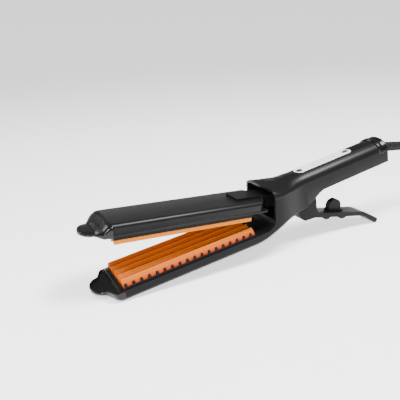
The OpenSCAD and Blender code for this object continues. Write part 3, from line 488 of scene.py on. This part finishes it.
def cord_path():
    """Centre line of the cord in metres: the free stretch, the hank, and the tail, which moves
    sideways and up by a smooth step to the plug that lies on the hank."""
    settings = bpy.context.scene.cord_settings
    d, last = settings.diameter / MM, settings.turns - 0.25
    hank = hank_points(np.linspace(0, last, round(last * TURN_STEPS) + 1), d)
    end, way = boot_end()
    s = np.linspace(0, TAIL, 14)[1:, None]
    top = hank[-1, 2] + d / 2 + FIT + PLUG_HALF
    move = np.array([0, PLUG_Y - hank[-1, 1], top - hank[-1, 2]])
    tail = hank[-1] + np.hstack([s, 0 * s, 0 * s]) + move * smooth(s / TAIL)
    free = spline_through(np.vstack([end, end + 8 * way, ROUTE, hank[:1]]), 6)
    return np.vstack([free[:-1], hank, tail]) * MM


def boot_axis():
    """Direction in which the strain relief leaves the cap, in the level frame."""
    dip = math.radians(BOOT["dip"])
    return np.array([math.cos(dip), 0, -math.sin(dip)])


def boot_end():
    """Outer end of the strain relief and its direction, in millimetres of the row frame."""
    a, b = place(REAR + BOOT["length"] * boot_axis()), place(REAR)
    return a / MM, (a - b) / np.linalg.norm(a - b)


def swept(path, profile_radius, sides):
    """Tube: ring k of the grid is path[k] + r (cos a u + sin a v), with u level and v = t x u."""
    tangent = np.gradient(path, axis=0)
    tangent /= np.linalg.norm(tangent, axis=1)[:, None]
    u = np.cross(np.array([0, 0.01, 1.0]), tangent)
    u /= np.linalg.norm(u, axis=1)[:, None]
    v = np.cross(tangent, u)
    a = np.linspace(0, 2 * np.pi, sides, endpoint=False)[None, :, None]
    r = np.broadcast_to(profile_radius, (len(path),))[:, None, None]
    return path[:, None] + r * (np.cos(a) * u[:, None] + np.sin(a) * v[:, None])


def build_cord():
    """Cord with its hank as one tube, then the plug, its pins, the tie and the strain relief."""
    settings = bpy.context.scene.cord_settings
    path = cord_path()
    rubber = rubber_finish()
    mesh = grid_mesh("cord_line", swept(path, settings.diameter / 2, 20))
    tidy_normals(mesh)
    line = piece("cord_line", mesh, "grip", rubber, 60)
    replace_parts(line, "cord", "cord_coil")
    plastic = finish("plug plastic", (0.016, 0.016, 0.017), 0.4, bump=0.2, depth=0.03)
    metal = finish("plug pin metal", (0.72, 0.72, 0.74), 0.2, variation=0.1, grain=3000,
                   metallic=1.0)
    plug = dressed("plug_body", plastic, 0.9 * MM, segments=3)
    pins = dressed("plug_pins", metal, 0.5 * MM, segments=3)
    tie = build_tie()
    build_boot(rubber)


def build_tie():
    """Tie: a flat band round the turns, along |y / a|^k + |z / b|^k = 1 with k about 7, a little
    thinner to its two edges."""
    low, high = (np.array(corner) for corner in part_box("cord_tie"))
    middle, half = (low + high) / 2, (high - low) / 2
    y, z = power_ring(np.linspace(0, 2 * np.pi, 96, endpoint=False), 1.0, 1.0, TIE_POWER)
    across = np.linspace(-1, 1, 5)[:, None]
    thin = 0.03 * MM * np.abs(across) ** 3
    thick = TIE_T * MM
    outer = np.stack(np.broadcast_arrays(
        middle[0] + half[0] * across, middle[1] + (half[1] - thin) * y,
        middle[2] + (half[2] - thin) * z), axis=-1)
    inner = np.stack(np.broadcast_arrays(
        middle[0] + half[0] * across[::-1], middle[1] + (half[1] - thick) * y,
        middle[2] + (half[2] - thick) * z), axis=-1)
    mesh = grid_mesh("cord_tie_band", np.vstack([outer, inner, outer[:1]]), caps=False)
    tidy_normals(mesh)
    band = piece("cord_tie_band", mesh, "grip", finish(
        "tie plastic", (0.012, 0.012, 0.012), 0.55, bump=0.2))
    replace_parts(band, "cord_tie")
    return band


def build_boot(rubber):
    """Strain relief: a revolve whose radius tapers from the cap to its tip and loses 0.95 (1 - w)
    between its ribs, where w is 1.6 sin(pi l / pitch)^0.5 - 0.45 kept between 0 and 1."""
    ribs, length = BOOT["ribs"], BOOT["length"]
    l = np.linspace(-6, length, 360)
    taper = lerp(BOOT["base"], BOOT["tip"], np.clip(l / length, 0, 1)) / 2
    pitch = (length - 2 * RIB_START) / ribs
    phase = (l - RIB_START) / pitch
    wave = np.clip(1.6 * np.sin(np.pi * (phase % 1)) ** 0.5 - 0.45, 0, 1)
    inside = (l > RIB_START) & (l < RIB_START + ribs * pitch)
    radius = taper - np.where(inside, RIB_DEPTH * (1 - wave), 0)
    end = length - 1.2
    radius = np.where(l > end, radius - 0.8 * ((l - end) / 1.2) ** 2, radius)
    path = place(REAR + l[:, None] * boot_axis())
    mesh = grid_mesh("strain_relief_boot", swept(path, radius * MM, 40))
    tidy_normals(mesh)
    boot = piece("strain_relief_boot", mesh, "grip", rubber, 50)
    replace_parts(boot, "strain_relief")


# ---------------------------------------------------------------- noses and jaws

NOSE_SEAM = -0.4                  # where the noses meet the jaws
LOBE_DEPTH = 8.5                  # from the tip to the lobe's widest place
FLARE = (8.6, 15.0)               # from the tip to where the neck starts and ends to widen
# Lower nose: its rim's height and roundness, its dish, its keel and its two ribs
RIM, RIM_ROUND, RIM_DROP = -2.8, 1.5, 0.8
JAW_W, JAW_H = 46.4, 9.2
DISH, DISH_END = 1.9, -4.6
KEEL_TIP, KEEL_POWERS = 3.4, (3.0, 7.0)
RIB_HALF, RIB_REACH, RIB_STEP = (0.62, 1.5), 19.8, 2.1
# Upper nose: its middle height, its crown above, its bottom below, its grooves and notches
UPPER_W, UPPER_TOP, FLANGE = 43.2, 16.6, 7.5
NOSE_Z = 8.1
CROWN_START, CROWN_RUN, CROWN_TIP, CROWN_POWERS = -12.6, 11.6, 1.5, (3.0, 6.5)
BOTTOM_TIP, BOTTOM_DROP, BOTTOM_POWER = 1.8, 2.2, 3.0
GROOVE_SPAN, GROOVE_SIDE, GROOVE_DEPTH = 16.0, -1.0, 0.55
GROOVE_START, GROOVE_END = -11.0, -2.6
NOTCHES, NOTCH_SPREAD, NOTCH_DEPTH, NOTCH_REACH = 24, 1.25, 0.35, 3.4
# Heads of the comb's teeth: their count, their places, and their half sizes along, across and up
TEETH = 18
TOOTH_START, TOOTH_PITCH, TOOTH_SIDE, TOOTH_TOP = 1.4, 6.5, -21.4, 2.0
TOOTH_HALF = (1.3, 0.62, 1.7)


def lobe_half(x, width):
    """Half width of a nose at x: half an ellipse for the lobe, then a neck that flares by a
    smooth step to the jaw's half width."""
    jaws = bpy.context.scene.jaw_settings
    tip = -jaws.nose
    u = np.clip((tip + LOBE_DEPTH - x) / LOBE_DEPTH, 0, 1)
    flare = ramp(x, tip + FLARE[0], FLARE[1] - FLARE[0])
    return np.maximum(0.4, lerp(jaws.lobe / 2 * np.sqrt(1 - u * u), width, flare))


def nose_rows(count):
    """Stations of a nose, close together at its tip: tip + length t^1.8."""
    tip = -bpy.context.scene.jaw_settings.nose
    return tip + (NOSE_SEAM - tip) * np.linspace(0, 1, count) ** 1.8


def power_ring(angle, half, up, exponent):
    """Point of a superellipse: half |cos|^(2/k), up |sin|^(2/k), with the signs kept."""
    c, s = np.cos(angle), np.sin(angle)
    return (half * np.sign(c) * np.abs(c) ** (2 / exponent),
            up * np.sign(s) * np.abs(s) ** (2 / exponent))


def lower_nose_grid():
    """Lower nose: a dished top inside a raised round rim, over a superellipse keel.

    Across the nose the height is a flat dish, a smooth step up to the rim, a quarter circle
    over it, and then the keel |y / half|^k + |z / deep|^k = 1, k growing from 3 to 7.
    """
    tip = -bpy.context.scene.jaw_settings.nose
    x = nose_rows(72)[:, None]
    half = lobe_half(x, JAW_W / 2)
    rim = np.minimum(RIM_ROUND, half / 2.5)
    dish = DISH * ramp(x, tip + 0.9, 2.2) * (1 - ramp(x, DISH_END, 1.2))
    deep = lerp(KEEL_TIP, JAW_H, ramp(x, tip, (NOSE_SEAM - tip) / 1.15))
    flat = np.linspace(0, 1, 9)[None, :-1]
    rise = np.linspace(0, 1, 9)[None, :]
    fall = np.linspace(0, np.pi / 2, 6)[None, 1:]
    y = [flat * (half - 2 * rim), half - 2 * rim + rise * rim,
         half - rim + rim * np.sin(fall)]
    z = [-dish * (0.85 + 0.15 * (1 - flat ** 2)), -0.85 * dish * (1 - smooth(rise)),
         -RIM_DROP * (1 - np.cos(fall)) + 0 * half]
    around = -np.linspace(0, np.pi / 2, 32)[None, 1:]
    y_keel, z_keel = power_ring(around, half, deep - RIM_DROP,
                                lerp(*KEEL_POWERS, ramp(x, -9, 8)))
    y, z = np.hstack(y + [y_keel]), np.hstack(z + [z_keel - RIM_DROP])
    y, z = np.hstack([-y, y[:, -2:0:-1]]), RIM + np.hstack([z, z[:, -2:0:-1]])
    return np.stack([np.broadcast_to(x, y.shape), y, z], axis=-1)


def nose_cuts(x, y):
    """Depth cut from the top of the upper nose: fine grooves down its slope, where
    |sin(pi y / pitch)|^3 is high, and short notches across the lobe's rim, where the cosine of
    24 times the bearing from the lobe's middle is above 0."""
    jaws = bpy.context.scene.jaw_settings
    pitch = GROOVE_SPAN / jaws.grooves
    groove = np.abs(np.sin(np.pi * y / pitch)) ** 3
    slope = ramp(x, GROOVE_START, 1.6) * (1 - ramp(x, GROOVE_END, 1.4))
    band = smooth((GROOVE_SPAN / 2 + 0.4 - np.abs(y - GROOVE_SIDE)) / 0.8)
    ahead = x + jaws.nose - jaws.lobe / 2
    bearing = np.arctan2(y, -ahead)
    rim = ramp(np.hypot(y, ahead), jaws.lobe / 2 - NOTCH_REACH, 0.8) * (x < -12)
    notch = np.clip(np.cos(bearing * NOTCHES), 0, 1)
    notch = rim * notch * smooth((NOTCH_SPREAD - np.abs(bearing)) / 0.2)
    return GROOVE_DEPTH * groove * slope * band + NOTCH_DEPTH * notch


def upper_nose_grid():
    """Upper nose: a crown that rises from the flat lobe by a smooth step, over a shallow bottom.

    Its section above is the superellipse |y / half|^k + |z / up|^k = 1, k growing from 3 to
    6.5, which squares up towards the jaw, and below the same with k = 3.
    """
    tip = -bpy.context.scene.jaw_settings.nose
    x = nose_rows(130)[:, None]
    half = lobe_half(x, UPPER_W / 2)
    s = ramp(x, CROWN_START, CROWN_RUN)
    up = lerp(CROWN_TIP, UPPER_TOP - NOSE_Z, s) * ramp(x, tip - 1.2, 3.4)
    down = lerp(BOTTOM_TIP, NOSE_Z - FLANGE + BOTTOM_DROP, s)
    across = np.sin(np.linspace(1, -1, 281) * np.pi / 2)[None, :]
    power = lerp(*CROWN_POWERS, s)
    y, z = half * across, up * (1 - np.abs(across) ** power) ** (1 / power)
    z = z - np.where(z > 0.2, nose_cuts(x, y), 0)
    under = np.linspace(np.pi, 2 * np.pi, 61)[None, 1:-1]
    y_under, z_under = power_ring(under, half, down, BOTTOM_POWER)
    y, z = np.hstack([y, y_under]), np.hstack([z, z_under])
    return np.stack([np.broadcast_to(x, y.shape), y, NOSE_Z + z], axis=-1)


def ridge_bars():
    """Two low cross ribs behind the dish of the lower nose, half round in section."""
    a = np.linspace(0, np.pi, 9)[None, :]
    y = np.linspace(-RIB_REACH, RIB_REACH, 40)[:, None]
    end = np.sqrt(np.clip(1 - (np.abs(y) / 20) ** 12, 0.02, 1))
    bars = []
    for step in (0, 1):
        x = NOSE_SEAM - 0.9 - RIB_STEP * step + RIB_HALF[0] * np.cos(a) * np.ones_like(y)
        z = RIM - 0.2 + RIB_HALF[1] * np.sin(a) ** 0.7 * end
        bars.append(np.stack([x, np.broadcast_to(y, x.shape), z], axis=-1))
    return bars


def build_noses():
    """Noses of both jaws, the lower one with its two cross ribs."""
    gloss = nose_finish()

    def shell(name, grid, body, sharp):
        mesh = grid_mesh(name, grid)
        tidy_normals(mesh)
        return piece(name, mesh, body, gloss, sharp)

    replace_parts(shell("lower_nose_shell", place(lower_nose_grid()), "grip", 50), "lower_nose")
    for number, bar in enumerate(ridge_bars()):
        shell(f"lower_nose_rib_{number + 1}", place(bar), "grip", 50)
    grid = place(upper_nose_grid(), swung=True)
    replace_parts(shell("upper_nose_shell", grid, "jaw", 60), "upper_nose")


def tooth_heads():
    """Heads of the comb's teeth, a closed egg each, whose rows go up by u: along a cos u cos v,
    across b (cos u)^0.6 sin v, and up c sin u."""
    u = np.linspace(-np.pi / 2, np.pi / 2, 11)[:, None]
    v = np.linspace(0, 2 * np.pi, 21)[None, :-1]
    up, out = np.sin(u), np.sqrt(np.clip(1 - np.sin(u) ** 2, 1e-4, 1))
    along, across, high = TOOTH_HALF
    heads = []
    for number in range(TEETH):
        x = TOOTH_START + number * TOOTH_PITCH + along * out * np.cos(v)
        y = TOOTH_SIDE + across * out ** 0.6 * np.sin(v)
        z = TOOTH_TOP - high * (1 - up) + 0 * v
        heads.append(np.stack([x, y, z], axis=-1))
    return heads


def build_comb(material):
    """One piece of all the tooth heads, which sit on the comb strip's teeth."""
    meshes = [grid_mesh(f"tooth_{n}", place(head)) for n, head in enumerate(tooth_heads())]
    bm = bmesh.new()
    for mesh in meshes:
        bm.from_mesh(mesh)
        bpy.data.meshes.remove(mesh)
    bmesh.ops.recalc_face_normals(bm, faces=bm.faces)
    mesh = bpy.data.meshes.new("comb_teeth")
    bm.to_mesh(mesh)
    bm.free()
    piece("comb_teeth", mesh, "grip", material, 60)


def build_jaws():
    """Plates, comb, edge strip and upper casing; the carriers get the same dark plastic."""
    edge = bpy.context.scene.body_settings.edge
    # The upper plate gets the painted valley and face lines but no painted shade to the far side;
    # the lower plate gets all of it
    upper_plate = plate_finish("upper plate coating with painted shade", 0.0, 0.5)
    dressed("lower_plate", plate_finish(), 0.35 * MM, segments=3)
    dressed("upper_plate", upper_plate, 0.35 * MM, body="jaw", segments=3)
    dark = finish("heat-proof plastic", (0.004, 0.004, 0.0045), 0.5,
                  bump=0.2, depth=0.03, specular=0.1)
    dressed("comb_strip", dark, 0.25 * MM)
    build_comb(dark)
    dressed("edge_strip", dark, 0.3 * MM)
    finish_nodes(["lower_carrier", "upper_carrier", "cord_clamp"], dark)
    dressed("upper_casing", cover_finish(), edge, body="jaw", segments=3)


# ---------------------------------------------------------------- body, lever and controls

def build_body():
    """Lower casing, top cover and end cap."""
    edge = bpy.context.scene.body_settings.edge
    dressed("lower_casing", casing_finish(), edge * 0.6, sharp=38)
    dressed("top_cover", cover_finish(), edge * 0.6, sharp=38)
    dressed("end_cap", nose_finish(), edge * 0.6, sharp=38)


def build_lever():
    """Rocker with its lever, and the finger tab on it."""
    edge = bpy.context.scene.body_settings.edge
    dressed("rocker_lever", casing_finish(), edge, body="jaw", segments=3)
    dressed("lever_tab", casing_finish(), edge * 1.4, body="jaw", segments=3)


def build_controls():
    """Control strip with its lamps and its two buttons."""
    panel = finish("pale control strip", (0.8, 0.8, 0.82), 0.3, variation=0.06, cloud=90,
                   grain=3000, bump=0.08)
    dressed("control_panel", panel, 0.25 * MM)
    lamp = finish("lamp window", (0.3, 0.36, 0.42), 0.15, variation=0.1, bump=0.04)
    dressed("panel_lamps", lamp, 0.15 * MM)
    key = finish("button plastic", (0.03, 0.03, 0.033), 0.3, variation=0.15, specular=0.3)
    dressed("power_button", key, 0.45 * MM, body="power_key", segments=3)
    dressed("mode_button", key, 0.45 * MM, body="mode_key", segments=3)


def build_inside():
    """Materials of the pieces inside the casings."""
    finish_nodes(["pivot_pin", "opening_spring", "clamp_screws", "casing_screws", "strap_screws"],
                 steel_finish())
    finish_nodes(["pivot_bush"], finish("bronze bush", (0.5, 0.3, 0.12), 0.35, metallic=1.0))
    finish_nodes(["lower_heater", "upper_heater", "thermal_fuse"],
                 finish("heater ceramic", (0.78, 0.74, 0.66), 0.6))
    finish_nodes(["circuit_board"], finish("board lacquer", (0.02, 0.16, 0.07), 0.35, cloud=200))
    finish_nodes(["key_switches"], finish("switch plastic", (0.45, 0.45, 0.45), 0.45))
    finish_nodes(["lead_wires"], finish("wire jacket", (0.22, 0.09, 0.03), 0.4))
    finish_nodes(["inner_cord"], rubber_finish())


# ---------------------------------------------------------------- stage

CAMERA_AT = (-0.2114, -0.3481, 0.1949)
CAMERA_RIGHT = (0.893392, -0.446459, -0.050253)
CAMERA_UP = (0.191453, 0.277127, 0.941566)
SKY = 0.25
FLOOR_GLOW = 1.1
FLOOR_RISE, FLOOR_FLAT, FLOOR_RUN = 0.7, 2.0, 3.0
# Lights: name, place, what it points at, size, and its share of the key light's power
LIGHTS = (
    ("top_light", (0.35, -0.3, 1.0), (0, 0, 0), 0.45, 1.0),
    ("front_light", (-0.55, -0.3, 0.85), (-0.1, 0, 0.03), 0.25, 0.4),
    ("low_light", (-0.75, -0.8, 0.3), (-0.06, 0, 0.01), 0.4, 0.55),
    ("rear_light", (-0.5, 0.75, 0.6), (-0.1, 0, 0.03), 0.3, 0.05))


def build_camera(lens):
    """Camera at the photo's angle: its axes are the rows of the fit to the picture."""
    right, up = Vector(CAMERA_RIGHT).normalized(), Vector(CAMERA_UP).normalized()
    back = right.cross(up).normalized()
    up = back.cross(right)
    data = bpy.data.cameras.new("camera")
    data.lens, data.sensor_width = lens, 36.0
    data.clip_start = 0.01
    camera = bpy.data.objects.new("camera", data)
    rotation = Matrix((right, up, back)).transposed()
    camera.matrix_world = Matrix.Translation(CAMERA_AT) @ rotation.to_4x4()
    bpy.context.scene.collection.objects.link(camera)
    bpy.context.scene.camera = camera


def area_light(name, at, aim, size, power):
    """Round soft light at a place, turned towards what it points at."""
    data = bpy.data.lights.new(name, "AREA")
    data.energy, data.size, data.shape = power, size, "DISK"
    light = bpy.data.objects.new(name, data)
    light.location = at
    light.rotation_euler = (Vector(at) - Vector(aim)).to_track_quat("Z", "Y").to_euler()
    bpy.context.scene.collection.objects.link(light)


def build_floor():
    """Pale floor that rises a little far out, by 0.7 smooth((r - 2) / 3) metres."""
    side = np.linspace(-6, 6, 61)
    x, y = np.meshgrid(side, side)
    rise = FLOOR_RISE * ramp(np.hypot(x, y), FLOOR_FLAT, FLOOR_RUN)
    grid = np.stack([x, y, rise - 0.0002], axis=-1)
    mesh = grid_mesh("floor", grid, closed_ring=False, caps=False)
    floor = bpy.data.objects.new("floor", mesh)
    paint = finish("floor paint", tuple(bpy.context.scene.stage_settings.floor_color), 0.85,
                   variation=0.01, cloud=2, grain=300, bump=0.02)
    glow = paint.node_tree.nodes["Principled BSDF"]
    glow.inputs["Emission Color"].default_value = (1, 1, 1, 1)
    glow.inputs["Emission Strength"].default_value = FLOOR_GLOW
    mesh.materials.append(paint)
    bpy.context.scene.collection.objects.link(floor)


def build_stage():
    """Floor, even white sky, lights and camera."""
    settings = bpy.context.scene.stage_settings
    build_floor()
    world = bpy.data.worlds.new("studio")
    world.use_nodes = True
    sky = world.node_tree.nodes["Background"]
    sky.inputs["Color"].default_value = (1, 1, 1, 1)
    sky.inputs["Strength"].default_value = SKY
    bpy.context.scene.world = world
    for name, at, aim, size, share in LIGHTS:
        area_light(name, at, aim, size, settings.key * share)
    build_camera(settings.lens)


# ---------------------------------------------------------------- operators and panel

class STRAIGHTENER_OT_stage(bpy.types.Operator):
    """Adds the floor, the lights and the camera"""

    bl_idname = "straightener.stage"
    bl_label = "Stage"

    def execute(self, context):
        build_stage()
        return {"FINISHED"}


class STRAIGHTENER_OT_cord(bpy.types.Operator):
    """Builds the cord, its hank, tie, plug and strain relief"""

    bl_idname = "straightener.cord"
    bl_label = "Cord"

    def execute(self, context):
        build_cord()
        return {"FINISHED"}


class STRAIGHTENER_OT_body(bpy.types.Operator):
    """Builds the casings and the end cap"""

    bl_idname = "straightener.body"
    bl_label = "Body"

    def execute(self, context):
        build_body()
        return {"FINISHED"}


class STRAIGHTENER_OT_jaws(bpy.types.Operator):
    """Builds the plates, the comb and the upper casing"""

    bl_idname = "straightener.jaws"
    bl_label = "Jaws"

    def execute(self, context):
        build_jaws()
        return {"FINISHED"}


class STRAIGHTENER_OT_noses(bpy.types.Operator):
    """Builds the lobed noses of both jaws"""

    bl_idname = "straightener.noses"
    bl_label = "Noses"

    def execute(self, context):
        build_noses()
        return {"FINISHED"}


class STRAIGHTENER_OT_lever(bpy.types.Operator):
    """Builds the rocker with its lever and finger tab"""

    bl_idname = "straightener.lever"
    bl_label = "Lever"

    def execute(self, context):
        build_lever()
        return {"FINISHED"}


class STRAIGHTENER_OT_controls(bpy.types.Operator):
    """Builds the control strip and its buttons"""

    bl_idname = "straightener.controls"
    bl_label = "Controls"

    def execute(self, context):
        build_controls()
        return {"FINISHED"}


class STRAIGHTENER_OT_inside(bpy.types.Operator):
    """Gives the inner pieces their materials"""

    bl_idname = "straightener.inside"
    bl_label = "Inside"

    def execute(self, context):
        build_inside()
        return {"FINISHED"}


OPERATORS = [
    STRAIGHTENER_OT_stage, STRAIGHTENER_OT_cord, STRAIGHTENER_OT_body, STRAIGHTENER_OT_jaws,
    STRAIGHTENER_OT_noses, STRAIGHTENER_OT_lever, STRAIGHTENER_OT_controls,
    STRAIGHTENER_OT_inside]


class STRAIGHTENER_PT_panel(bpy.types.Panel):
    """Lists the straightener's pieces"""

    bl_idname = "STRAIGHTENER_PT_panel"
    bl_label = "Straightener"
    bl_space_type = "VIEW_3D"
    bl_region_type = "UI"
    bl_category = "Straightener"

    def draw(self, context):
        scene = context.scene
        for settings in (scene.jaw_settings, scene.body_settings, scene.cord_settings,
                         scene.stage_settings):
            for name in settings.__annotations__:
                self.layout.prop(settings, name)
        for entry in OPERATORS:
            self.layout.operator(entry.bl_idname)


SETTINGS = {"jaw_settings": JawSettings, "body_settings": BodySettings,
            "cord_settings": CordSettings, "stage_settings": StageSettings}
CLASSES = list(SETTINGS.values()) + OPERATORS + [STRAIGHTENER_PT_panel]


def register():
    for entry in CLASSES:
        bpy.utils.register_class(entry)
    for name, group in SETTINGS.items():
        setattr(bpy.types.Scene, name, bpy.props.PointerProperty(type=group))


def unregister():
    for name in SETTINGS:
        delattr(bpy.types.Scene, name)
    for entry in reversed(CLASSES):
        bpy.utils.unregister_class(entry)


def main():
    register()
    bpy.ops.straightener.stage()
    bpy.ops.straightener.cord()
    bpy.ops.straightener.body()
    bpy.ops.straightener.jaws()
    bpy.ops.straightener.noses()
    bpy.ops.straightener.lever()
    bpy.ops.straightener.controls()
    bpy.ops.straightener.inside()


if __name__ == "__main__":
    main()
